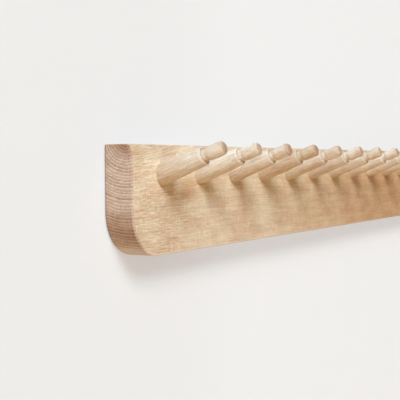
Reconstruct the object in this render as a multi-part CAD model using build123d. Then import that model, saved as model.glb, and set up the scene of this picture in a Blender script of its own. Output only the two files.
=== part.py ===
from build123d import *
import os
from math import cos, radians, sin, tan

# Shaker peg rail in solid oak: one board for the wall with a row of turned pegs that tilt up, hung on two
# steel keyhole plates let into its back. Millimetres. The origin is the middle of the back face, +X runs
# to the right seen from the front, the front faces -Y and +Z is up.

# Rail
RAIL_HEIGHT = 74
RAIL_THICKNESS = 22
CORNER_RADIUS = 30  # bottom corners, seen from the front
CROWN_DROP = 14.6  # how far below the top the front face starts to curve back
CROWN_SETBACK = 3.9  # how far behind the front face that curve meets the top
FRONT_EASING = 1.8  # rounding of the front arris, round the ends and the bottom
TOP_EASING = 0.8  # rounding of the arrises at the top and round the back

# Row of pegs
PEG_COUNT = 16
PEG_PITCH = 50
END_MARGIN = 35  # from an end of the rail to the centre of the nearest peg
PEG_DROP = 20  # from the top of the rail to a peg's centre, on the front face
PEG_TILT = 20.6  # degrees above level

# Peg, turned in one piece. Lengths run along its own axis, out from the rail's front face.
PEG_RADIUS = 7.25  # in the rail and where it leaves it
PEG_STRAIGHT = 3.5  # stays straight this far out, so that it fills the slanted mouth of its hole
SHOULDER_AT = 35.1
SHOULDER_RADIUS = 6.2
SHOULDER_EASING = 0.8
NECK_LENGTH = 3.6
NECK_RADIUS = 4.1
TIP_LENGTH = 12.2
TIP_RADIUS = 4.7
TIP_EASING = 1.2
HOLE_BACK_WALL = 5.2  # wood left between a peg's hole and the back face
GLUE_GAP = 0.05  # all round a peg in its hole, and at the hole's end

# Keyhole plates, one near each end, with their screws
PLATE_AFTER_PEG = 2  # each plate lies half a pitch past this peg, counted from its own end
PLATE_CENTRE_DROP = 31  # from the top of the rail to the plate's middle
PLATE_LENGTH = 44
PLATE_WIDTH = 18
PLATE_THICKNESS = 1.5
PLATE_BELOW_BACK = 0.2  # the plate's outer face lies this far under the rail's back face
PLATE_FIT = 0.2  # all round the plate in its recess
KEYHOLE_RADIUS = 4.75  # round entry for the wall screw's head
KEYHOLE_SLOT_WIDTH = 4.5
KEYHOLE_TRAVEL = 12  # from the middle of the entry up to the middle of the slot's end
POCKET_MARGIN = 1  # the pocket behind the keyhole is this much larger than the entry, all round
POCKET_DEPTH = 9  # from the rail's back face
SCREW_SPACING = 35  # between the two screws of a plate
SCREW_LENGTH = 12
SCREW_RADIUS = 1.4
SCREW_POINT = 2.5  # length of the tapered point
SCREW_FIT = 0.05  # round a screw, in the plate and in the wood
DRIVE_SLOT_LENGTH = 3
DRIVE_SLOT_WIDTH = 0.7
DRIVE_SLOT_DEPTH = 0.9

# Worked out from those
RAIL_LENGTH = (PEG_COUNT - 1) * PEG_PITCH + 2 * END_MARGIN
RAIL_TOP = RAIL_HEIGHT / 2
FIRST_PEG_X = -RAIL_LENGTH / 2 + END_MARGIN
PEG_Z = RAIL_TOP - PEG_DROP
PEG_LENGTH = SHOULDER_AT + NECK_LENGTH + TIP_LENGTH
TILT = radians(PEG_TILT)
HOLE_RADIUS = PEG_RADIUS + GLUE_GAP
HOLE_DEPTH = (RAIL_THICKNESS - HOLE_BACK_WALL - HOLE_RADIUS * sin(TILT)) / cos(TILT)
TENON_LENGTH = HOLE_DEPTH - GLUE_GAP
CROWN_RADIUS = (CROWN_DROP**2 + CROWN_SETBACK**2) / (2 * CROWN_SETBACK)
PLATE_X = FIRST_PEG_X + (PLATE_AFTER_PEG - 0.5) * PEG_PITCH
PLATE_Z = RAIL_TOP - PLATE_CENTRE_DROP
PLATE_RADIUS = PLATE_WIDTH / 2
PLATE_RECESS = PLATE_BELOW_BACK + PLATE_THICKNESS
SCREW_HEAD_RADIUS = SCREW_RADIUS + PLATE_THICKNESS


def rail_section():
    """The rail's section, looking along it: square at the back, curved back over the top of the front."""
    front = -RAIL_THICKNESS
    bottom = -RAIL_HEIGHT / 2
    crown_start = (front, RAIL_TOP - CROWN_DROP)
    crown_end = (front + CROWN_SETBACK, RAIL_TOP)
    with BuildSketch(Plane.YZ) as section:
        with BuildLine():
            Polyline(crown_end, (0, RAIL_TOP), (0, bottom), (front, bottom), crown_start)
            RadiusArc(crown_start, crown_end, CROWN_RADIUS)
        make_face()
    return section.sketch


def rail_blank():
    """The board before drilling: its outline from the front, cut to its section, with eased arrises."""
    with BuildPart() as blank:
        with BuildSketch(Plane.XZ):
            outline = Rectangle(RAIL_LENGTH, RAIL_HEIGHT)
            fillet(outline.vertices().group_by(Axis.Y)[0], CORNER_RADIUS)
        extrude(amount=RAIL_THICKNESS)
        extrude(rail_section(), amount=RAIL_LENGTH / 2, both=True, mode=Mode.INTERSECT)
        fillet(front_arris(blank.part), FRONT_EASING)
        top = blank.faces().sort_by(Axis.Z)[-1]
        back = blank.faces().sort_by(Axis.Y)[-1]
        fillet(top.edges() + back.edges(), TOP_EASING)
    return blank.part


def front_arris(board):
    """The edges that run from the top of one end, down, along the bottom and up to the top of the other."""
    front = board.faces().sort_by(Axis.Y)[0]
    crown_line = front.edges().sort_by(Axis.Z)[-1]
    crown = next(face for face in board.faces().filter_by(GeomType.CYLINDER) if crown_line in face.edges())
    crown_ends = crown.edges().filter_by(GeomType.CIRCLE)
    return front.edges().filter_by(lambda edge: edge != crown_line) + crown_ends


def peg_place(number):
    """Where peg 1, 2, 3 ... leaves the front face, with its own +Z pointing out along the peg."""
    x = FIRST_PEG_X + (number - 1) * PEG_PITCH
    return Location((x, -RAIL_THICKNESS, PEG_Z), (90 - PEG_TILT, 0, 0))


def peg():
    """One turned peg along +Z, with the rail's front face at z = 0."""
    tip_start = SHOULDER_AT + NECK_LENGTH
    with BuildPart() as turned:
        with BuildSketch(Plane.XZ):
            with BuildLine():
                Polyline(
                    (0, -TENON_LENGTH),
                    (PEG_RADIUS, -TENON_LENGTH),
                    (PEG_RADIUS, PEG_STRAIGHT),
                    (SHOULDER_RADIUS, SHOULDER_AT - SHOULDER_EASING),
                    (SHOULDER_RADIUS - SHOULDER_EASING, SHOULDER_AT),
                    (NECK_RADIUS, SHOULDER_AT),
                    (NECK_RADIUS, tip_start),
                    (TIP_RADIUS, tip_start),
                    (TIP_RADIUS, PEG_LENGTH - TIP_EASING),
                    (TIP_RADIUS - TIP_EASING, PEG_LENGTH),
                    (0, PEG_LENGTH),
                    close=True,
                )
            make_face()
        revolve(axis=Axis.Z)
    return turned.part


def peg_hole():
    """What the drill takes out for one peg, along +Z like the peg, from the hole's end to clear of the rail."""
    reach = HOLE_RADIUS * tan(TILT) + CROWN_SETBACK
    drill = Cylinder(HOLE_RADIUS, HOLE_DEPTH + reach, align=(Align.CENTER, Align.CENTER, Align.MIN))
    return Pos(0, 0, -HOLE_DEPTH) * drill


def plate_places():
    """The middle of each keyhole plate on the rail's back face, left and right seen from the front."""
    return {"left": Pos(-abs(PLATE_X), 0, PLATE_Z), "right": Pos(abs(PLATE_X), 0, PLATE_Z)}


def upright_slot(radius, spacing, near, far):
    """A slot with round ends, their middles spacing apart in Z, from near to far under the back face."""
    with BuildPart() as slot:
        with BuildSketch(Plane.XZ.offset(near)):
            SlotCenterToCenter(spacing, 2 * radius, rotation=90)
        extrude(amount=far - near)
    return slot.part


def screw_positions():
    """The heights of a plate's two screws, from its middle."""
    return (-SCREW_SPACING / 2, SCREW_SPACING / 2)


def along_screw(radius_depths):
    """A solid of revolution about the Y axis, from (radius, depth under the rail's back face) pairs."""
    with BuildPart() as turned:
        with BuildSketch(Plane.XY):
            with BuildLine():
                Polyline([(radius, -depth) for radius, depth in radius_depths], close=True)
            make_face()
        revolve(axis=Axis.Y)
    return turned.part


def keyhole_recess():
    """What the router takes out of the back for one plate: the plate's seat, a pocket, and pilot holes."""
    seat = upright_slot(PLATE_RADIUS + PLATE_FIT, PLATE_LENGTH - PLATE_WIDTH, 0, PLATE_RECESS)
    pocket = upright_slot(KEYHOLE_RADIUS + POCKET_MARGIN, KEYHOLE_TRAVEL, 0, POCKET_DEPTH)
    pilot_radius = SCREW_RADIUS + SCREW_FIT
    pilot_end = PLATE_BELOW_BACK + SCREW_LENGTH + SCREW_FIT
    pilot = along_screw([(0, 0), (pilot_radius, 0), (pilot_radius, pilot_end - SCREW_POINT), (0, pilot_end)])
    return [seat, pocket] + [Pos(0, 0, z) * pilot for z in screw_positions()]


def hanger_plate():
    """A steel keyhole plate: a round entry low down, a slot up from it, and a countersunk hole at each end."""
    plate = upright_slot(PLATE_RADIUS, PLATE_LENGTH - PLATE_WIDTH, PLATE_BELOW_BACK, PLATE_RECESS)
    entry = Pos(0, 0, -KEYHOLE_TRAVEL / 2) * Rot(90, 0, 0) * Cylinder(KEYHOLE_RADIUS, 2 * POCKET_DEPTH)
    slot = upright_slot(KEYHOLE_SLOT_WIDTH / 2, KEYHOLE_TRAVEL, 0, POCKET_DEPTH)
    countersink = along_screw(
        [
            (0, 0),
            (SCREW_HEAD_RADIUS + SCREW_FIT + PLATE_BELOW_BACK, 0),
            (SCREW_RADIUS + SCREW_FIT, PLATE_RECESS),
            (0, PLATE_RECESS),
        ]
    )
    return plate - [entry, slot] - [Pos(0, 0, z) * countersink for z in screw_positions()]


def hanger_screw():
    """A countersunk wood screw with a crossed drive, its head level with the plate's outer face."""
    head_top = PLATE_BELOW_BACK
    end = head_top + SCREW_LENGTH
    body = along_screw(
        [
            (0, head_top),
            (SCREW_HEAD_RADIUS, head_top),
            (SCREW_RADIUS, PLATE_RECESS),
            (SCREW_RADIUS, end - SCREW_POINT),
            (0, end),
        ]
    )
    drive = Box(DRIVE_SLOT_LENGTH, 2 * DRIVE_SLOT_DEPTH, DRIVE_SLOT_WIDTH)
    crossed = drive + Rot(0, 90, 0) * drive
    return body - Pos(0, -head_top, 0) * crossed


def rail():
    """The finished rail: the blank, less a blind hole for each peg and the recesses for the two plates."""
    drilled = peg_hole()
    cuts = [peg_place(number) * drilled for number in range(1, PEG_COUNT + 1)]
    routed = keyhole_recess()
    for place in plate_places().values():
        cuts += [place * cut for cut in routed]
    return rail_blank() - cuts


def save(name, shape):
    """Write one node's solids to parts/NAME.step."""
    export_step(shape, f"parts/{name}.step")


os.makedirs("parts", exist_ok=True)
save("rail", rail())
turned_peg = peg()
for number in range(1, PEG_COUNT + 1):
    save(f"peg_{number:02d}", peg_place(number) * turned_peg)
pressed_plate = hanger_plate()
wood_screw = hanger_screw()
screws = []
for side, place in plate_places().items():
    save(f"hanger_plate_{side}", place * pressed_plate)
    screws += [place * Pos(0, 0, z) * wood_screw for z in screw_positions()]
save("hanger_screws", Compound(screws))
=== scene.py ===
from math import cos, pi, radians, sin, tan
from random import Random

import bmesh
import bpy
from mathutils import Matrix, Vector


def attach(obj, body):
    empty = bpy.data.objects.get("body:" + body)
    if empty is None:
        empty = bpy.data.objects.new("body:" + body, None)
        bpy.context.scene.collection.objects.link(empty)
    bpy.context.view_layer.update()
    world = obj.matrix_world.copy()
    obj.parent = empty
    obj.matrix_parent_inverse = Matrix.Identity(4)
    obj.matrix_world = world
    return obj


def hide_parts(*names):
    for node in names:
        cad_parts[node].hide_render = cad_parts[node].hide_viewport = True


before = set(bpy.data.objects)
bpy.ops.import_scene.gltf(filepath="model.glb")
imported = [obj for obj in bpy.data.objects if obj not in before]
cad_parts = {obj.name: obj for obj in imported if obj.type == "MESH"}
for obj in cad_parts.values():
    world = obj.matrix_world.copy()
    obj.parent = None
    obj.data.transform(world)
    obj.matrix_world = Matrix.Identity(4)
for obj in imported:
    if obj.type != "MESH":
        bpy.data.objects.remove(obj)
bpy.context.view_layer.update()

bl_info = {
    "name": "Shaker peg rail",
    "version": (1, 0, 0),
    "blender": (4, 5, 0),
    "location": "3D View > Sidebar > Peg rail",
    "description": "Finishes an oak peg rail: board, turned pegs, keyhole plates, screws and the wall",
    "category": "Object",
}


def srgb(red, green, blue):
    """A colour as it is given, 0 to 255, turned into the linear values that a shader takes."""
    parts = [value / 255 for value in (red, green, blue)]
    return tuple(((part + 0.055) / 1.055) ** 2.4 if part > 0.04045 else part / 12.92 for part in parts)


MM = 0.001  # metres in a millimetre
BODY = "root"  # the one body that every piece rides on

# Board, in millimetres
RAIL_LENGTH = 820
RAIL_HEIGHT = 74
RAIL_THICKNESS = 22
CORNER_RADIUS = 30
CORNER_STEPS = 12

# Pegs, in millimetres, along their own axis from the front of the board
PEG_COUNT = 16
PEG_PITCH = 50
END_MARGIN = 35
PEG_HEIGHT = 17  # above the board's middle
PEG_TILT = 20.6  # degrees above level
TENON_END = -15
TENON_ROUNDING = 0.4
PEG_RADIUS = 7.25
PEG_STRAIGHT = 3.5
SHOULDER_AT = 35.1
SHOULDER_RADIUS = 6.2
NECK_LENGTH = 3.6
NECK_RADIUS = 4.1
TIP_LENGTH = 12.2
TIP_RADIUS = 4.7
TIP_BACK_ROUNDING = 0.25
PEG_END = SHOULDER_AT + NECK_LENGTH + TIP_LENGTH
PEG_TAPER = (PEG_RADIUS - SHOULDER_RADIUS) / (SHOULDER_AT - PEG_STRAIGHT)  # off the radius in each mm
PEG_LATHE_STEPS = 64
ARC_STEPS = 5
MERGE_DISTANCE = 0.001

# How dark each peg is at its base, at its tip and on its end, from the left
PEG_DARKNESS = (
    (0.75, 0.4, 0.45),
    (0.65, 0.1, 0.5),
    (0.65, 0.4, 0.75),
    (0.85, 0.9, 0.5),
    (0.65, 0.45, 0.4),
    (0.75, 0.4, 0.5),
    (0.55, 0.35, 0.4),
    (0.45, 0.3, 0.4),
)
CHANCE_DARKNESS = ((0.3, 0.7), (0.2, 0.5), (0.2, 0.5))  # the same for the other pegs, each from least to most
RIM_HIGHLIGHT_FROM = 29  # mm out, where a painted highlight starts to pale a peg towards its shoulder's rim
RIM_HIGHLIGHT_SHARE = 0.9  # of a peg's darkness that is left on that rim under the painted highlight
END_DEPTH = 2.6  # mm from its end that a peg has the end's own darkness

# Where each peg's blank grew, in millimetres
PEG_SEED = 11
BLANK_FROM_PITH = (28, 60)
BLANK_ALONG = (0, 900)

# Oak: its rings and how they stray, in millimetres. Noise is mostly within a quarter of 1, so each strays by
# about a quarter of what is written here.
RAIL_RING_WIDTH = 2.0
PEG_RING_WIDTH = 1.8
EARLY_WOOD = (0.0, 0.15, 0.15, 0.55)  # shares of a year where it starts, is full from and to, and ends
LATE_WOOD = (0.6, 0.9, 0.9, 1.0)
RING_DRIFT = 2.0  # rings come early or late by this many,
RING_DRIFT_WIDTH = 7  # over about this width
WANDER = 4  # the tree's middle strays by this much,
SIDEWAYS_LENGTH = 160  # over about this length to the sides
UPWARD_LENGTH = 190  # and over this one up and down,
BUCKLE_DEPTH = 1.3  # and the rings buckle by this much
DRIFT_PLACE = (0.0, 5.0)  # where in the noise each of these is taken
SIDEWAYS_PLACE = (3.7, 1.3)
UPWARD_PLACE = (8.2, 6.1)

# Oak: marks of one kind, as their length along the grain and their width across it, in millimetres
BUCKLE = (70, 9)
PORE = (7, 0.5)
DASH = (9, 0.7)
FIBRE = (9, 0.5)
CLOUD = (24, 12)

# Oak: how many finer sizes of noise lie among a mark's own
PLAIN_DETAIL = 1.0
FIBRE_DETAIL = 3.0
STREAK_DETAIL = 2.0
STREAK_ROUGHNESS = 0.6  # how strong each is beside the size before it

# Oak: marks that follow the rings or the rays, as how many of them go into
PEARLS = (1 / 9, 1 / 0.8, 1.4)  # a mm along the grain, a mm round the tree, and a ring
STREAKS = (1 / 45, 0.8, 5)  # a mm along the grain, a ring, and a radian round the tree
RAYS = (1 / 1.6, 40, 1 / 9)  # a mm along the grain, a radian round the tree, and a mm outwards

# Oak: the noise, or for pores the distance, between which a mark comes in or fades
PEARL_RANGE = (-0.12, 0.14)
PORE_RANGE = (0.12, 0.4)
DASH_RANGE = (0.02, 0.14)
RAY_RANGE = (0.07, 0.2)

# Oak: how much each mark darkens, or below 0 pales, the wood
FINE_BASE = 0.1
FINE_MARKS = {"dashes": -0.3, "pores": 0.15, "fibre": 1.1}
LONG_GRAIN_BASE = 0.52
LONG_GRAIN_MARKS = {"streak": 0.6, "cloud": 0.6, "rays": -0.16}
LONG_GRAIN_PEARLS = (-0.18, -0.26)  # in soft figure and in crisp figure
CRISPNESS_RANGE = (0.3, 0.85)
END_GRAIN_BASE = 0.5
END_GRAIN_MARKS = {"year_tone": 0.25, "late": 0.25, "fibre": 0.9, "cloud": 0.5, "rays": -0.28}
TONE_STOPS = (0.0, 0.4, 0.75, 1.0)
BLUSH_RANGE = (-0.12, 0.16)
BLUSH_SHARE = 0.45

# Oak: its surface
RELIEF_MARKS = {"pores": -1.0, "fibre": 0.6, "rays": 0.25}
OAK_ROUGHNESS = (0.48, 0.68)  # where it is pale and where it is dark
OAK_SPECULAR = 0.3

# The board's oak, in millimetres from the left end and above the middle
PITH_DEPTH = -17  # where the tree's middle ran: this far in front of the board's back,
PITH_HEIGHT = 41  # this far up at the left end,
GRAIN_CLIMB = 18  # and along the top rising to this much higher, from half as much lower,
CLIMB_FROM_LEFT = (-70, 110)  # between these two
CLIMB_HEIGHTS = (-8, 58)  # with none of it at the first height and all at the second
CRISP_FROM_LEFT = (15, 110)
BOARD_CRISPNESS = (0.85, 0.3)  # at the left end and further on
BOARD_RING_CONTRAST = 0.9
BOARD_TONES = (srgb(241, 223, 194), srgb(223, 201, 169), srgb(202, 174, 140), srgb(165, 132, 95))

# Which way the board faces: the parts of its normal between which one side's look turns into another's
JUST_OVER_ONE = 1.0001  # so that what is left of a square is never 0
ENDWAYS = (0.3, 0.85)
END_NOT_FORWARD = (0.8, 0.995)
FRONTWARD = (-0.9, -0.5)
STRAIGHT_DOWN = (-0.98, -0.7)
DOWNWARD = (-0.4, 0.0)
FORWARD = (0.15, 0.5)
EASED = (*FORWARD, 0.8, 0.99)

# The board's stains, tints, painted shade and painted shadows, each with where it lies in millimetres, from
# the left end and above the middle
BLUSH_STAIN = srgb(255, 240, 238)
BOARD_END_STAIN = srgb(219, 213, 222)
HEART_STAIN = srgb(208, 184, 166)
HEART_FROM = 8  # from the tree's middle
HEART_TO = (22.0, 15.0)  # on the front and on end grain
HEART_SHARE = (0.45, 0.9)
# Painted shade on the board's end grain, darker towards the bottom
END_SHADE_TINT = srgb(222, 206, 192)
END_SHADE_BELOW = (-20, 4)  # full under the first height and gone over the second
END_SHADE_ABOVE = (-36, -28)  # and down to the next share over these two, at the bottom
END_SHADE_LEAST = 0.2
# Painted shadow along the back edge of the ends, where the board meets the wall
BACK_EDGE_SHADOW = srgb(176, 163, 153)
BACK_EDGE = (-1.6, -0.4)  # Y, which is 0 on the board's back
BACK_EDGE_SHARE = 0.8
# A dark joint line round each peg's hole, which is also painted contact shadow at the peg's base
SEAM_AND_SHADOW_TINT = srgb(176, 138, 104)
SEAM_WIDTH = 0.9
SEAM_SHARE = 0.32
# Painted shadow of the first peg: a ragged darker patch on the front, below and to the right of it
PEG_SHADOW_TINT = srgb(215, 187, 160)
PATCH_FROM_LEFT = 70  # its middle
PATCH_HEIGHT = 6
PATCH_LENGTH = 22
PATCH_WIDTH = 13
PATCH_RAGGED = 8  # its outline strays up and down by about a quarter of this
PATCH_FADE = (0.2, 1.0)  # shares of its length and width, where it starts to fade and is gone
PATCH_SHARE = 0.75
# The board darker and browner towards its right end
RIGHT_END_TINT = srgb(222, 196, 166)
FAR_FROM_LEFT = (80, 480)
FAR_SOONER = 35.0  # along the top it comes this much sooner,
SOONER_HEIGHTS = (-14, 4)
SOONER_FROM_LEFT = (220, 340)  # which between these two turns into as much later
# Painted shade: the long grain darker low on the board than along its top
LOW_SHADE_TINT = srgb(245, 243, 243)
LOW_HEIGHTS = (-10, 22)

# Painted light: colours that cover the wood on the board's underside and rounded edges, a grey where it faces
# straight down, and a pale colour on its lower edges and, as a painted highlight, round the lower part of its
# ends
UNDERSIDE_PAINTED_LIGHT = srgb(196, 188, 180)
UNDERSIDE_SHARE = 0.5
ARRIS_PAINTED_LIGHT = srgb(240, 231, 216)
ARRIS_BELOW_SHARE = 0.95
ARRIS_ABOVE_SHARE = 0.18
ARRIS_ENDWAYS = (0.2, 0.7)  # from here to there it weakens to the next share, round the ends
ARRIS_END_SHARE = 0.2

# The pegs' oak
PEG_ENDWAYS = (0.5, 0.95)  # as for the board, along the peg
PEG_CRISPNESS = 0.8
PEG_RING_CONTRAST = 0.35
PEG_TONES = (srgb(244, 236, 223), srgb(229, 219, 203), srgb(206, 192, 172), srgb(168, 144, 118))
PEG_END_GRAIN_STAIN = srgb(222, 211, 199)
PEG_DARK_STAIN = srgb(222, 203, 182)
PEG_END_STAIN = srgb(222, 193, 169)

# Steel: how many of its marks go into a millimetre in X, Y and Z
RUBBING = (4.0, 4.0, 0.25)
SPANGLE = (0.4, 0.4, 0.4)
RUBBING_STRENGTH = 0.6
STEEL_DETAIL = 3.0
STEEL_BASE = 0.5
STEEL_RANGE = (0.2, 0.8)
STEEL_ROUGHNESS = (0.42, 0.28)  # where it is dull and where it is bright
DULL_STEEL = srgb(150, 153, 157)
PLATE_STEEL = srgb(205, 207, 210)
SCREW_STEEL = srgb(222, 212, 186)

# Wall and floor, in millimetres
WALL_GAP = 0.7  # between the back of the board and the wall
WALL_HALF = 5000  # from the middle to each side, and up
OPENING_INSET = 2  # from the board's outline in to the edge of the opening behind it
FLOOR_DROP = 1300  # from the middle of the board down to the floor
FLOOR_REACH = 7000  # from the wall to the floor's front edge
SWEEP_RADIUS = 400
SWEEP_STEPS = 12
PAINT_ROUGHNESS = 0.9
WALL_COLOUR = srgb(232, 231, 230)
WALL_LIFT_LEFT = (0.42, 0.48, 0.54)  # the share lifted out of shade, in red, green and blue
WALL_LIFT_RIGHT = (0.51, 0.57, 0.63)
WALL_RISE = 1.05  # how much brighter the wall looks on the right
LOOK_CHANGES = (-370, -200)  # the X between which the look on the left turns into the one on the right
FLOOR_COLOUR = srgb(216, 172, 118)
FLOOR_SEEN = srgb(214, 207, 203)
FLOOR_LIFT = (0.3, 0.3, 0.3)

# Lamps: towards which side each stands, and sizes in millimetres
KEY_FROM = (-0.469, -0.618, 0.631)
SIDE_FROM = (1.0, -0.03, 0.12)
BACK_FROM = (-0.3, 0.8, 0.5)
KEY_TINT = (0.82, 1.0, 1.21)
LAMP_DISTANCE = 12000
LAMP_TARGET = (-200, -22, 0)
WINDOW_SIZE = (7500, 4500)
SLOT_SIZE = (1050, 5250)

# The room's even light, by the direction that it comes from
ROOM_TINT = (1.1, 0.96, 0.645)
ROOM_SEEN = srgb(240, 238, 237)
ROOM_SIDES = (-1.0, 0.6)  # X of the direction, from left to right
ROOM_OVERHEAD = (0.3, 0.9)  # Z of the direction
ROOM_OVERHEAD_SHARE = 0.3

# Camera, in millimetres and radians
CAMERA_PLACE = (-887.55, -349.65, 24.22)
CAMERA_LENS = 82.01
CAMERA_SENSOR = 36
CAMERA_NEAREST = 10
CAMERA_YAW = 0.5278897
CAMERA_PITCH = 0.0400270
CAMERA_ROLL = -0.0055736


def opaque(colour):
    """The same colour with full alpha, as a node's colour socket holds it."""
    return (*colour, 1.0)


class Graph:
    """The node tree of a material or of the world, written as a chain of small steps."""

    def __init__(self, owner):
        owner.use_nodes = True
        self.owner = owner
        self.tree = owner.node_tree
        self.shader = self.tree.nodes.get("Principled BSDF")

    def feed(self, socket, value):
        """Link a socket to another node, or set its plain value."""
        if isinstance(value, bpy.types.NodeSocket):
            self.tree.links.new(value, socket)
        else:
            socket.default_value = value

    def node(self, kind, inputs, **settings):
        """Add a node of that kind with its inputs, by name or number, and its settings."""
        node = self.tree.nodes.new("ShaderNode" + kind)
        for key, value in settings.items():
            setattr(node, key, value)
        for key, value in inputs.items():
            self.feed(node.inputs[key], value)
        return node

    def math(self, operation, *values):
        return self.node("Math", dict(enumerate(values)), operation=operation).outputs[0]

    def add(self, *values):
        total = values[0]
        for value in values[1:]:
            total = self.math("ADD", total, value)
        return total

    def times(self, *values):
        product = values[0]
        for value in values[1:]:
            product = self.math("MULTIPLY", product, value)
        return product

    def vector(self, x, y, z):
        return self.node("CombineXYZ", {0: x, 1: y, 2: z}).outputs[0]

    def scaled(self, values, factors):
        """A vector of three values, each times its own factor."""
        return self.vector(*(self.times(value, factor) for value, factor in zip(values, factors)))

    def split(self, vector):
        return self.node("SeparateXYZ", {0: vector}).outputs[:3]

    def length(self, x, y, z):
        return self.node("VectorMath", {0: self.vector(x, y, z)}, operation="LENGTH").outputs["Value"]

    def step(self, value, low, high, start=0.0, end=1.0):
        """Goes smoothly from start, at low, to end, at high."""
        inputs = {"Value": value, "From Min": low, "From Max": high, "To Min": start, "To Max": end}
        return self.node("MapRange", inputs, interpolation_type="SMOOTHSTEP").outputs[0]

    def fade(self, value, low, high, full=1.0):
        """Goes smoothly from full, at low, to 0, at high."""
        return self.step(value, low, high, full, 0.0)

    def band(self, value, low, full_from, full_to, high):
        """Goes smoothly from 0 at low up to 1, and from there down to 0 at high."""
        return self.times(self.step(value, low, full_from), self.fade(value, full_to, high))

    def noise(self, vector, detail=2.0, roughness=0.5):
        """Soft noise, about 0 on average and mostly within a quarter of it, one unit of vector wide."""
        inputs = {"Vector": vector, "Scale": 1.0, "Detail": detail, "Roughness": roughness}
        fac = self.node("TexNoise", inputs).outputs["Fac"]
        return self.math("SUBTRACT", fac, 0.5)

    def mix(self, factor, first, second, blend="MIX"):
        node = self.node("Mix", {0: factor, 6: first, 7: second}, data_type="RGBA", blend_type=blend)
        return node.outputs[2]

    def tint_over(self, share, colour, tint):
        """The colour with this share of a clear tint multiplied over it, for the wood's stains and for
        painted shade and painted shadows.
        """
        return self.mix(share, colour, opaque(tint), "MULTIPLY")

    def ramp(self, value, stops):
        """A colour ramp through (position, colour) stops."""
        node = self.node("ValToRGB", {0: value})
        elements = node.color_ramp.elements
        while len(elements) < len(stops):
            elements.new(1.0)
        for element, (position, colour) in zip(elements, stops):
            element.position = position
            element.color = opaque(colour)
        return node.outputs[0]


def stretched(graph, spot, length, width):
    """A spot in the wood, along and twice across the grain, in units this long and this wide."""
    return graph.scaled(spot, (1 / length, 1 / width, 1 / width))


def oak_figure(graph, along, across, up, ring_width):
    """Oak as a solid: what a cut shows at a point, in mm, along the grain and across it from the pith."""
    sideways = graph.noise(graph.vector(graph.times(along, 1 / SIDEWAYS_LENGTH), *SIDEWAYS_PLACE))
    upward = graph.noise(graph.vector(graph.times(along, 1 / UPWARD_LENGTH), *UPWARD_PLACE))
    across = graph.add(across, graph.times(sideways, WANDER))
    up = graph.add(up, graph.times(upward, WANDER))
    spot = (along, across, up)
    angle = graph.math("ARCTAN2", across, up)
    buckle = graph.noise(stretched(graph, spot, *BUCKLE))
    radius = graph.add(graph.length(0.0, across, up), graph.times(buckle, BUCKLE_DEPTH))
    arc = graph.times(angle, radius)
    drift = graph.noise(graph.vector(graph.times(radius, 1 / RING_DRIFT_WIDTH), *DRIFT_PLACE))
    ring = graph.add(graph.times(radius, 1 / ring_width), graph.times(drift, RING_DRIFT))
    year = graph.node("TexWhiteNoise", {"W": graph.math("FLOOR", ring)}, noise_dimensions="1D")
    season = graph.math("FRACT", ring)
    dots = graph.noise(graph.scaled((along, arc, ring), PEARLS), PLAIN_DETAIL)
    cells = graph.node("TexVoronoi", {"Vector": stretched(graph, spot, *PORE), "Scale": 1.0})
    threads = graph.noise(stretched(graph, spot, *DASH), PLAIN_DETAIL)
    blades = graph.noise(graph.scaled((along, angle, radius), RAYS), PLAIN_DETAIL)
    return {
        "radius": radius,
        "late": graph.band(season, *LATE_WOOD),
        "year_tone": year.outputs["Value"],
        "pearls": graph.times(graph.band(season, *EARLY_WOOD), graph.step(dots, *PEARL_RANGE)),
        "pores": graph.fade(cells.outputs["Distance"], *PORE_RANGE),
        "dashes": graph.step(threads, *DASH_RANGE),
        "fibre": graph.noise(stretched(graph, spot, *FIBRE), FIBRE_DETAIL),
        "streak": graph.noise(graph.scaled((along, ring, angle), STREAKS), STREAK_DETAIL, STREAK_ROUGHNESS),
        "cloud": graph.noise(stretched(graph, spot, *CLOUD)),
        "rays": graph.step(blades, *RAY_RANGE),
    }


def weighted(graph, figure, marks):
    """Some of the figure's marks, each times its own weight."""
    return [graph.times(figure[mark], weight) for mark, weight in marks.items()]


def oak_shade(graph, figure, tones, crispness, ring_contrast, end_grain, end_stain):
    """How deep the wood's tone is, 0 where pale and 1 where dark, and its colour, stained on end grain."""
    fine = graph.add(FINE_BASE, *weighted(graph, figure, FINE_MARKS))
    pearl_weight = graph.step(crispness, *CRISPNESS_RANGE, *LONG_GRAIN_PEARLS)
    long_grain = graph.add(
        LONG_GRAIN_BASE,
        graph.times(fine, crispness),
        graph.times(figure["pearls"], pearl_weight),
        *weighted(graph, figure, LONG_GRAIN_MARKS),
    )
    cross_grain = graph.add(
        END_GRAIN_BASE,
        graph.times(figure["pearls"], -ring_contrast),
        *weighted(graph, figure, END_GRAIN_MARKS),
    )
    depth = graph.add(
        graph.times(long_grain, graph.math("SUBTRACT", 1.0, end_grain)), graph.times(cross_grain, end_grain)
    )
    colour = graph.ramp(depth, list(zip(TONE_STOPS, tones)))
    blush = graph.step(figure["cloud"], *BLUSH_RANGE, 0.0, BLUSH_SHARE)
    colour = graph.tint_over(blush, colour, BLUSH_STAIN)
    colour = graph.tint_over(end_grain, colour, end_stain)
    return depth, colour


def finish_oak(graph, figure, depth, colour, relief):
    """The matt oiled surface: roughness and relief from the same figure as the colour."""
    height = graph.add(*weighted(graph, figure, RELIEF_MARKS))
    bump = graph.node("Bump", {"Strength": 1.0, "Distance": relief, "Height": height})
    graph.feed(graph.shader.inputs["Base Color"], colour)
    graph.feed(graph.shader.inputs["Roughness"], graph.step(depth, 0.0, 1.0, *OAK_ROUGHNESS))
    graph.feed(graph.shader.inputs["Normal"], bump.outputs[0])
    graph.shader.inputs["Specular IOR Level"].default_value = OAK_SPECULAR
    return graph.owner


def grain_position(graph):
    """Position in the piece's own frame, in millimetres, and its normal there."""
    texture = graph.node("TexCoord", {})
    scaled = graph.node("VectorMath", {0: texture.outputs["Object"], 3: 1 / MM}, operation="SCALE")
    return graph.split(scaled.outputs[0]), graph.split(texture.outputs["Normal"])


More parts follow.
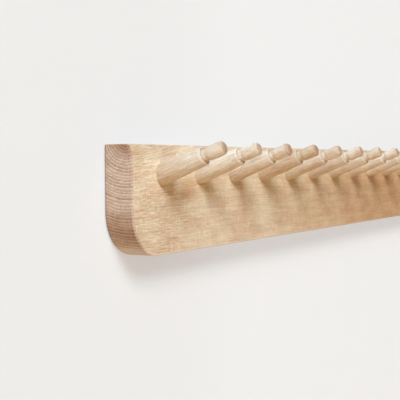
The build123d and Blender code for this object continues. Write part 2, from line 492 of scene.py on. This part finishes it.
def rail_oak(settings):
    """The board's oak, cut with the tree's middle above its front edge, with painted shade, painted shadows,
    painted light and a painted highlight.
    """
    graph = Graph(bpy.data.materials.new("rail_oak"))
    (x, y, z), (facing_end, facing_front, facing_up) = grain_position(graph)
    from_left = graph.add(x, RAIL_LENGTH / 2)

    forward = graph.math("ABSOLUTE", facing_front)
    across_edge = graph.math("SQRT", graph.math("SUBTRACT", JUST_OVER_ONE, graph.times(forward, forward)))
    endways = graph.math("DIVIDE", graph.math("ABSOLUTE", facing_end), across_edge)
    end_grain = graph.times(graph.step(endways, *ENDWAYS), graph.fade(forward, *END_NOT_FORWARD))
    side_grain = graph.fade(end_grain, 0.0, 1.0)
    on_front = graph.fade(facing_front, *FRONTWARD)

    across = graph.add(y, -PITH_DEPTH)
    climb = graph.step(from_left, *CLIMB_FROM_LEFT, -GRAIN_CLIMB / 2, GRAIN_CLIMB)
    climb = graph.times(climb, graph.step(z, *CLIMB_HEIGHTS))
    up = graph.add(z, -PITH_HEIGHT, graph.times(climb, -1.0))
    figure = oak_figure(graph, x, across, up, RAIL_RING_WIDTH)
    crispness = graph.step(from_left, *CRISP_FROM_LEFT, *BOARD_CRISPNESS)
    depth, colour = oak_shade(
        graph, figure, BOARD_TONES, crispness, BOARD_RING_CONTRAST, end_grain, BOARD_END_STAIN
    )

    heart = graph.fade(figure["radius"], HEART_FROM, graph.step(end_grain, 0.0, 1.0, *HEART_TO))
    heart = graph.times(heart, graph.step(end_grain, 0.0, 1.0, *HEART_SHARE))
    colour = graph.tint_over(heart, colour, HEART_STAIN)
    # Painted shade: the end grain darker towards the bottom of the board
    from_bottom = graph.step(z, *END_SHADE_ABOVE, END_SHADE_LEAST, 1.0)
    end_shade = graph.times(graph.fade(z, *END_SHADE_BELOW), from_bottom, end_grain)
    colour = graph.tint_over(end_shade, colour, END_SHADE_TINT)

    # Painted light: faces that look straight down are half covered with grey
    underside_light = graph.fade(facing_up, *STRAIGHT_DOWN, UNDERSIDE_SHARE)
    colour = graph.mix(underside_light, colour, opaque(UNDERSIDE_PAINTED_LIGHT))
    # Painted shadow: a dark line along the back edge of the end grain, against the wall
    back_edge_shadow = graph.times(graph.step(y, *BACK_EDGE, 0.0, BACK_EDGE_SHARE), end_grain)
    colour = graph.tint_over(back_edge_shadow, colour, BACK_EDGE_SHADOW)
    # Painted light on the eased edges that face down and forward, weaker round the ends, and a painted
    # highlight on the eased edges where the ends' painted shade lies
    painted_light_below = graph.times(
        graph.fade(facing_up, *DOWNWARD, ARRIS_BELOW_SHARE),
        graph.step(forward, *FORWARD),
        graph.step(endways, *ARRIS_ENDWAYS, 1.0, ARRIS_END_SHARE),
    )
    painted_highlight_above = graph.times(graph.band(forward, *EASED), end_shade, ARRIS_ABOVE_SHARE)
    colour = graph.mix(graph.math("MAXIMUM", painted_light_below, painted_highlight_above), colour, opaque(ARRIS_PAINTED_LIGHT))

    # A dark joint line round each hole on the front, and painted contact shadow at each peg's base
    hole_x = graph.math("PINGPONG", graph.add(from_left, -END_MARGIN), PEG_PITCH / 2)
    hole_z = graph.times(graph.add(z, -PEG_HEIGHT), cos(radians(PEG_TILT)))
    from_hole = graph.length(hole_x, 0.0, hole_z)
    seam_and_shadow = graph.times(graph.fade(from_hole, PEG_RADIUS, PEG_RADIUS + SEAM_WIDTH, SEAM_SHARE), on_front)
    colour = graph.tint_over(seam_and_shadow, colour, SEAM_AND_SHADOW_TINT)
    # Painted shadow of the first peg on the board's front
    patch_x = graph.times(graph.add(from_left, -PATCH_FROM_LEFT), 1 / PATCH_LENGTH)
    ragged = graph.times(figure["cloud"], PATCH_RAGGED)
    patch_z = graph.times(graph.add(z, -PATCH_HEIGHT, ragged), 1 / PATCH_WIDTH)
    painted_peg_shadow = graph.times(graph.fade(graph.length(patch_x, 0.0, patch_z), *PATCH_FADE, PATCH_SHARE), on_front)
    colour = graph.tint_over(painted_peg_shadow, colour, PEG_SHADOW_TINT)
    # Darker and browner towards the right end, sooner along the top
    sooner = graph.times(
        graph.step(z, *SOONER_HEIGHTS, 0.0, FAR_SOONER), graph.step(from_left, *SOONER_FROM_LEFT, 1.0, -1.0)
    )
    far = graph.step(graph.add(from_left, sooner), *FAR_FROM_LEFT)
    colour = graph.tint_over(far, colour, RIGHT_END_TINT)
    # Painted shade on the lower long grain
    low = graph.times(graph.fade(z, *LOW_HEIGHTS), side_grain)
    colour = graph.tint_over(low, colour, LOW_SHADE_TINT)
    return finish_oak(graph, figure, depth, colour, settings.relief)


def peg_oak(settings):
    """The pegs' oak, paler than the board's, each peg cut from its own place in the tree."""
    graph = Graph(bpy.data.materials.new("peg_oak"))
    grain = graph.node("Attribute", {}, attribute_name="grain").outputs["Vector"]
    tone = graph.node("Attribute", {}, attribute_name="tone").outputs["Fac"]
    end_tone = graph.node("Attribute", {}, attribute_name="end_tone").outputs["Fac"]
    figure = oak_figure(graph, *graph.split(grain), PEG_RING_WIDTH)
    normal = graph.node("TexCoord", {}).outputs["Normal"]
    axis = (0, -cos(radians(PEG_TILT)), sin(radians(PEG_TILT)))
    facing_end = graph.node("VectorMath", {0: normal, 1: axis}, operation="DOT_PRODUCT").outputs["Value"]
    end_grain = graph.step(graph.math("ABSOLUTE", facing_end), *PEG_ENDWAYS)
    depth, colour = oak_shade(
        graph, figure, PEG_TONES, PEG_CRISPNESS, PEG_RING_CONTRAST, end_grain, PEG_END_GRAIN_STAIN
    )
    # The tone darkens the peg, less on its shoulder's rim: a painted highlight
    colour = graph.tint_over(tone, colour, PEG_DARK_STAIN)
    colour = graph.tint_over(end_tone, colour, PEG_END_STAIN)
    return finish_oak(graph, figure, depth, colour, settings.relief)


def steel(name, bright, settings):
    """Zinc plated steel: a faint spangle, rubbed along the plate's length."""
    graph = Graph(bpy.data.materials.new(name))
    position, _ = grain_position(graph)
    rubbed = graph.noise(graph.scaled(position, RUBBING), STEEL_DETAIL)
    spangle = graph.noise(graph.scaled(position, SPANGLE), STEEL_DETAIL)
    shade = graph.add(STEEL_BASE, rubbed, spangle)
    colour = graph.ramp(shade, list(zip(STEEL_RANGE, (DULL_STEEL, bright))))
    bump_inputs = {"Strength": RUBBING_STRENGTH, "Distance": settings.plate_relief, "Height": rubbed}
    bump = graph.node("Bump", bump_inputs)
    graph.feed(graph.shader.inputs["Base Color"], colour)
    graph.feed(graph.shader.inputs["Roughness"], graph.step(shade, *STEEL_RANGE, *STEEL_ROUGHNESS))
    graph.feed(graph.shader.inputs["Normal"], bump.outputs[0])
    graph.shader.inputs["Metallic"].default_value = 1.0
    return graph.owner


def give(piece, material):
    """Make this the piece's only material."""
    piece.data.materials.clear()
    piece.data.materials.append(material)


def eased(corner, before, after, radius):
    """The points of an arc that rounds a profile's corner."""
    corner, before, after = Vector(corner), Vector(before), Vector(after)
    to_before = (before - corner).normalized()
    to_after = (after - corner).normalized()
    half = to_before.angle(to_after) / 2
    middle = corner + (to_before + to_after).normalized() * (radius / sin(half))
    start = corner + to_before * (radius / tan(half))
    end = corner + to_after * (radius / tan(half))
    points = []
    for number in range(ARC_STEPS + 1):
        point = start.lerp(end, number / ARC_STEPS)
        points.append(middle + (point - middle).normalized() * radius)
    return points


def peg_profile(settings):
    """Half of the peg's outline as (radius, height) in millimetres, with its rims rounded."""
    neck_end = SHOULDER_AT + NECK_LENGTH
    highlight_radius = PEG_RADIUS - PEG_TAPER * (RIM_HIGHLIGHT_FROM - PEG_STRAIGHT)
    corners = [
        ((0, TENON_END), 0),
        ((PEG_RADIUS, TENON_END), TENON_ROUNDING),
        ((PEG_RADIUS, PEG_STRAIGHT), 0),
        # where the painted highlight on the shoulder's rim starts
        ((highlight_radius, RIM_HIGHLIGHT_FROM), 0),
        ((SHOULDER_RADIUS, SHOULDER_AT), settings.shoulder_rounding / MM),
        ((NECK_RADIUS, SHOULDER_AT), 0),
        ((NECK_RADIUS, neck_end), 0),
        ((TIP_RADIUS, neck_end), TIP_BACK_ROUNDING),
        ((TIP_RADIUS, PEG_END), settings.tip_rounding / MM),
        ((0, PEG_END), 0),
    ]
    points = []
    for number, (corner, radius) in enumerate(corners):
        if radius:
            points += eased(corner, corners[number - 1][0], corners[number + 1][0], radius)
        else:
            points.append(Vector(corner))
    return points


def lathe(name, profile):
    """A mesh turned about its own Z from a profile in millimetres."""
    sheet = bmesh.new()
    rim = [sheet.verts.new((point.x * MM, 0, point.y * MM)) for point in profile]
    edges = [sheet.edges.new(pair) for pair in zip(rim, rim[1:])]
    bmesh.ops.spin(
        sheet,
        geom=rim + edges,
        axis=(0, 0, 1),
        cent=(0, 0, 0),
        steps=PEG_LATHE_STEPS,
        angle=2 * pi,
        use_merge=True,
    )
    bmesh.ops.remove_doubles(sheet, verts=sheet.verts, dist=MERGE_DISTANCE * MM)
    bmesh.ops.recalc_face_normals(sheet, faces=sheet.faces)
    for face in sheet.faces:
        face.smooth = True
    mesh = bpy.data.meshes.new(name)
    sheet.to_mesh(mesh)
    sheet.free()
    return mesh


def peg_place(number):
    """Where a peg stands: on the front of the board, its own Z along the peg."""
    x = -RAIL_LENGTH / 2 + END_MARGIN + (number - 1) * PEG_PITCH
    turn = Matrix.Rotation(radians(90 - PEG_TILT), 4, "X")
    return Matrix.Translation(Vector((x, -RAIL_THICKNESS, PEG_HEIGHT)) * MM) @ turn


def cut_from(mesh, chance, number):
    """Write where in the tree this peg's blank grew, and how dark it is, with a painted highlight on its
    shoulder's rim, for its material to read.
    """
    turn = chance.uniform(0, 2 * pi)
    distance = chance.uniform(*BLANK_FROM_PITH)
    blank = Vector((chance.uniform(*BLANK_ALONG), distance * cos(turn), distance * sin(turn)))
    by_chance = tuple(chance.uniform(*span) for span in CHANCE_DARKNESS)
    base, tip, end = PEG_DARKNESS[number - 1] if number <= len(PEG_DARKNESS) else by_chance
    for name, kind in (("grain", "FLOAT_VECTOR"), ("tone", "FLOAT"), ("end_tone", "FLOAT")):
        mesh.attributes.new(name, kind, "POINT")
    for vertex in mesh.vertices:
        height = vertex.co.z / MM
        outward = min(max(height / SHOULDER_AT, 0), 1)
        # The shoulder's rim keeps less of the peg's darkness: a painted highlight
        on_highlit_rim = RIM_HIGHLIGHT_FROM < height <= SHOULDER_AT
        tone = (base + (tip - base) * outward) * (RIM_HIGHLIGHT_SHARE if on_highlit_rim else 1)
        mesh.attributes["grain"].data[vertex.index].vector = vertex.co.zxy / MM + blank
        mesh.attributes["tone"].data[vertex.index].value = tone
        mesh.attributes["end_tone"].data[vertex.index].value = end if height > PEG_END - END_DEPTH else 0.0


def outline_points(inset):
    """The board's outline seen from the front, in mm, this much smaller all round: x and z."""
    half_length = RAIL_LENGTH / 2 - inset
    half_height = RAIL_HEIGHT / 2 - inset
    corner = CORNER_RADIUS - inset
    points = [(half_length, half_height), (-half_length, half_height)]
    for middle, start in ((-half_length + corner, pi), (half_length - corner, 1.5 * pi)):
        for number in range(CORNER_STEPS + 1):
            turn = start + number / CORNER_STEPS * pi / 2
            points.append((middle + corner * cos(turn), -half_height + corner + corner * sin(turn)))
    return points


class PegRailSettings(bpy.types.PropertyGroup):
    """Sizes and finishes that a user would change."""

    relief: bpy.props.FloatProperty(
        name="Grain relief",
        description="Depth of the open grain",
        default=0.12 * MM,
        min=0.0,
        max=1.0 * MM,
        unit="LENGTH",
    )
    plate_relief: bpy.props.FloatProperty(
        name="Plate relief",
        description="Depth of the rubbing on the steel",
        default=0.01 * MM,
        min=0.0,
        max=0.2 * MM,
        unit="LENGTH",
    )
    shoulder_rounding: bpy.props.FloatProperty(
        name="Shoulder rounding", description="Radius of the shoulder's rim", default=1.4 * MM, unit="LENGTH"
    )
    tip_rounding: bpy.props.FloatProperty(
        name="Tip rounding", description="Radius of the rim at the peg's end", default=2.7 * MM, unit="LENGTH"
    )
    wall_colour: bpy.props.FloatVectorProperty(
        name="Wall", description="Colour of the wall", subtype="COLOR", default=WALL_COLOUR
    )
    key_light: bpy.props.FloatProperty(
        name="Key light", description="Light from the key lamp, where 1 is full light", default=1.24
    )
    side_light: bpy.props.FloatProperty(
        name="Side light", description="Light from the lamp that faces the right end", default=0.55
    )
    back_light: bpy.props.FloatProperty(
        name="Back light", description="Light from the lamp behind the wall", default=0.55
    )
    left_light: bpy.props.FloatProperty(
        name="Light from the left", description="Strength of the even light from the left", default=0.7
    )
    right_light: bpy.props.FloatProperty(
        name="Light from the right", description="Strength of the even light from the right", default=0.1
    )


class PEGRAIL_OT_finish_board(bpy.types.Operator):
    """Give the board its oiled oak"""

    bl_idname = "pegrail.finish_board"
    bl_label = "Finish board"

    def execute(self, context):
        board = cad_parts["rail"]
        give(board, rail_oak(context.scene.peg_rail))
        return {"FINISHED"}


class PEGRAIL_OT_turn_pegs(bpy.types.Operator):
    """Turn the pegs, each from its own blank, and set them in the board"""

    bl_idname = "pegrail.turn_pegs"
    bl_label = "Turn pegs"

    def execute(self, context):
        settings = context.scene.peg_rail
        material = peg_oak(settings)
        profile = peg_profile(settings)
        chance = Random(PEG_SEED)
        for number in range(1, PEG_COUNT + 1):
            mesh = lathe(f"turned_peg_{number:02d}", profile)
            cut_from(mesh, chance, number)
            mesh.transform(peg_place(number))
            peg = bpy.data.objects.new(mesh.name, mesh)
            context.scene.collection.objects.link(peg)
            peg.modifiers.new("Even shading", "WEIGHTED_NORMAL").keep_sharp = True
            give(peg, material)
            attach(peg, BODY)
            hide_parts(f"peg_{number:02d}")
        return {"FINISHED"}


class PEGRAIL_OT_finish_hangers(bpy.types.Operator):
    """Give the keyhole plates and their screws their plated steel"""

    bl_idname = "pegrail.finish_hangers"
    bl_label = "Finish hangers"

    def execute(self, context):
        settings = context.scene.peg_rail
        plate_steel = steel("plate_steel", PLATE_STEEL, settings)
        screw_steel = steel("screw_steel", SCREW_STEEL, settings)
        for name, material, slot in (
            ("hanger_plate_left", plate_steel, "plate_steel"),
            ("hanger_plate_right", plate_steel, "plate_steel"),
            ("hanger_screws", screw_steel, "screw_steel"),
        ):
            give(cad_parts[name], material)
        return {"FINISHED"}


def looked_at(graph):
    """1 for a ray that looks, straight or by way of metal or glass, and 0 for one that only gathers light."""
    path = graph.node("LightPath", {})
    mirrored = graph.math("MAXIMUM", path.outputs["Is Glossy Ray"], path.outputs["Is Transmission Ray"])
    return graph.math("MAXIMUM", path.outputs["Is Camera Ray"], mirrored)


def stage_material(name, colour, looks, see_through):
    """Matt paint of one colour for the light that it throws back, and of another to look at.

    looks holds, for the left and for the right, the colour to look at and the share of it that is lifted out
    of shade, in red, green and blue.
    """
    graph = Graph(bpy.data.materials.new(name))
    shader = graph.shader
    shader.inputs["Base Color"].default_value = opaque(colour)
    shader.inputs["Roughness"].default_value = PAINT_ROUGHNESS
    shader.inputs["Specular IOR Level"].default_value = 0.0
    (x, _, _), _ = grain_position(graph)
    rightward = graph.step(x, *LOOK_CHANGES)
    shaded = [opaque([value * (1 - share) for value, share in zip(seen, lift)]) for seen, lift in looks]
    lifted = [opaque([value * share for value, share in zip(seen, lift)]) for seen, lift in looks]
    softened = graph.node("BsdfDiffuse", {"Color": graph.mix(rightward, *shaded)})
    glow = graph.node("Emission", {"Color": graph.mix(rightward, *lifted), "Strength": 1.0})
    look = graph.node("AddShader", {0: softened.outputs[0], 1: glow.outputs[0]})
    shown = graph.node("MixShader", {0: looked_at(graph), 1: shader.outputs[0], 2: look.outputs[0]})
    if see_through:
        behind = graph.node("NewGeometry", {}).outputs["Backfacing"]
        clear = graph.node("BsdfTransparent", {})
        shown = graph.node("MixShader", {0: behind, 1: shown.outputs[0], 2: clear.outputs[0]})
    graph.feed(graph.tree.nodes["Material Output"].inputs["Surface"], shown.outputs[0])
    return graph.owner


def wall_and_floor(settings):
    """A wall with an opening just inside the board's outline, swept forward into a floor."""
    sheet = bmesh.new()
    opening = [sheet.verts.new((x * MM, WALL_GAP * MM, z * MM)) for x, z in outline_points(OPENING_INSET)]
    foot = -FLOOR_DROP + SWEEP_RADIUS
    sides = [(WALL_HALF, WALL_HALF), (-WALL_HALF, WALL_HALF), (-WALL_HALF, foot), (WALL_HALF, foot)]
    rim = [sheet.verts.new((x * MM, WALL_GAP * MM, z * MM)) for x, z in sides]
    loop_edges = []
    for ring in (opening, rim):
        loop_edges += [sheet.edges.new((ring[i], ring[(i + 1) % len(ring)])) for i in range(len(ring))]
    bmesh.ops.triangle_fill(sheet, edges=loop_edges, use_beauty=True)
    left, right = rim[2], rim[3]
    rows = []
    for number in range(1, SWEEP_STEPS + 1):
        turn = number / SWEEP_STEPS * pi / 2
        rows.append((-SWEEP_RADIUS * (1 - cos(turn)), foot - SWEEP_RADIUS * sin(turn)))
    rows.append((-FLOOR_REACH, -FLOOR_DROP))
    for y, z in rows:
        next_left = sheet.verts.new((-WALL_HALF * MM, y * MM, z * MM))
        next_right = sheet.verts.new((WALL_HALF * MM, y * MM, z * MM))
        floor_strip = sheet.faces.new((left, next_left, next_right, right))
        floor_strip.smooth = True
        floor_strip.material_index = 1
        left, right = next_left, next_right
    for face in sheet.faces:
        face.normal_update()
        into_wall, into_floor = face.normal.y > 0, face.normal.z < -0.5
        if into_wall or into_floor:
            face.normal_flip()
    mesh = bpy.data.meshes.new("wall_and_floor")
    sheet.to_mesh(mesh)
    sheet.free()
    wall = bpy.data.objects.new("wall_and_floor", mesh)
    bpy.context.scene.collection.objects.link(wall)
    white = settings.wall_colour
    whiter = [value * WALL_RISE for value in white]
    wall_looks = ((white, WALL_LIFT_LEFT), (whiter, WALL_LIFT_RIGHT))
    floor_looks = [(FLOOR_SEEN, FLOOR_LIFT)] * 2
    mesh.materials.append(stage_material("wall_white", white, wall_looks, True))
    mesh.materials.append(stage_material("floor_white", FLOOR_COLOUR, floor_looks, False))


def add_lamp(name, towards, size, strength, tint=(1.0, 1.0, 1.0), glossy=True):
    """A wide soft lamp far off, that gives this share of full light to what faces it on the board's left."""
    direction = Vector(towards).normalized()
    data = bpy.data.lights.new(name, "AREA")
    data.shape = "RECTANGLE"
    data.size, data.size_y = size[0] * MM, size[1] * MM
    data.color = tint
    data.energy = strength * (pi * LAMP_DISTANCE * MM) ** 2
    lamp = bpy.data.objects.new(name, data)
    lamp.location = (Vector(LAMP_TARGET) + direction * LAMP_DISTANCE) * MM
    lamp.rotation_euler = direction.to_track_quat("Z", "Y").to_euler()
    lamp.visible_camera = False
    lamp.visible_glossy = glossy
    bpy.context.scene.collection.objects.link(lamp)


def light_world(settings):
    """Even light, stronger from the left and weaker from overhead, that shows as the wall's white."""
    graph = Graph(bpy.data.worlds.new("pale_room"))
    bpy.context.scene.world = graph.owner
    x, _, z = graph.split(graph.node("TexCoord", {}).outputs["Generated"])
    side = graph.step(x, *ROOM_SIDES, settings.left_light, settings.right_light)
    strength = graph.times(side, graph.step(z, *ROOM_OVERHEAD, 1.0, ROOM_OVERHEAD_SHARE))
    light = graph.tree.nodes["Background"]
    graph.feed(light.inputs["Color"], opaque(ROOM_TINT))
    graph.feed(light.inputs["Strength"], strength)
    shown = graph.node("Background", {"Color": opaque(ROOM_SEEN), "Strength": 1.0})
    choose = graph.node("MixShader", {0: looked_at(graph), 1: light.outputs[0], 2: shown.outputs[0]})
    graph.feed(graph.tree.nodes["World Output"].inputs["Surface"], choose.outputs[0])


def light_room(settings):
    """A window of light from the upper left, soft lamps for the right end and the back, and even light."""
    add_lamp("key_lamp", KEY_FROM, WINDOW_SIZE, settings.key_light, KEY_TINT)
    add_lamp("side_lamp", SIDE_FROM, SLOT_SIZE, settings.side_light, glossy=False)
    add_lamp("back_lamp", BACK_FROM, WINDOW_SIZE, settings.back_light)
    light_world(settings)
    bpy.context.scene.view_settings.view_transform = "Standard"


def set_camera():
    """The camera near the left end, looking along the rail."""
    level_forward = Vector((cos(CAMERA_YAW), sin(CAMERA_YAW), 0))
    forward = level_forward * cos(CAMERA_PITCH) - Vector((0, 0, sin(CAMERA_PITCH)))
    level_right = Vector((sin(CAMERA_YAW), -cos(CAMERA_YAW), 0))
    level_up = level_right.cross(forward)
    right = cos(CAMERA_ROLL) * level_right + sin(CAMERA_ROLL) * level_up
    up = -sin(CAMERA_ROLL) * level_right + cos(CAMERA_ROLL) * level_up
    data = bpy.data.cameras.new("camera")
    data.lens = CAMERA_LENS
    data.sensor_width = CAMERA_SENSOR
    data.clip_start = CAMERA_NEAREST * MM
    camera = bpy.data.objects.new("camera", data)
    turn = Matrix((right, up, -forward)).transposed().to_4x4()
    camera.matrix_world = Matrix.Translation(Vector(CAMERA_PLACE) * MM) @ turn
    bpy.context.scene.collection.objects.link(camera)
    bpy.context.scene.camera = camera


class PEGRAIL_OT_set_stage(bpy.types.Operator):
    """Put up the wall, the light and the camera"""

    bl_idname = "pegrail.set_stage"
    bl_label = "Set stage"

    def execute(self, context):
        settings = context.scene.peg_rail
        wall_and_floor(settings)
        light_room(settings)
        set_camera()
        return {"FINISHED"}


class PEGRAIL_PT_panel(bpy.types.Panel):
    """The peg rail's settings and steps"""

    bl_label = "Peg rail"
    bl_idname = "PEGRAIL_PT_panel"
    bl_space_type = "VIEW_3D"
    bl_region_type = "UI"
    bl_category = "Peg rail"

    def draw(self, context):
        settings = context.scene.peg_rail
        for name in settings.bl_rna.properties.keys():
            if name not in ("rna_type", "name"):
                self.layout.prop(settings, name)
        for operator in OPERATORS:
            self.layout.operator(operator.bl_idname)


OPERATORS = (PEGRAIL_OT_finish_board, PEGRAIL_OT_turn_pegs, PEGRAIL_OT_finish_hangers, PEGRAIL_OT_set_stage)
CLASSES = (PegRailSettings, *OPERATORS, PEGRAIL_PT_panel)


def register():
    for cls in CLASSES:
        bpy.utils.register_class(cls)
    bpy.types.Scene.peg_rail = bpy.props.PointerProperty(type=PegRailSettings)


def unregister():
    del bpy.types.Scene.peg_rail
    for cls in reversed(CLASSES):
        bpy.utils.unregister_class(cls)


def corners(box):
    """A box's two corners as plain numbers."""
    return [[float(value) for value in corner] for corner in box]


def main():
    register()
    bpy.ops.pegrail.finish_board()
    bpy.ops.pegrail.turn_pegs()
    bpy.ops.pegrail.finish_hangers()
    bpy.ops.pegrail.set_stage()


if __name__ == "__main__":
    main()
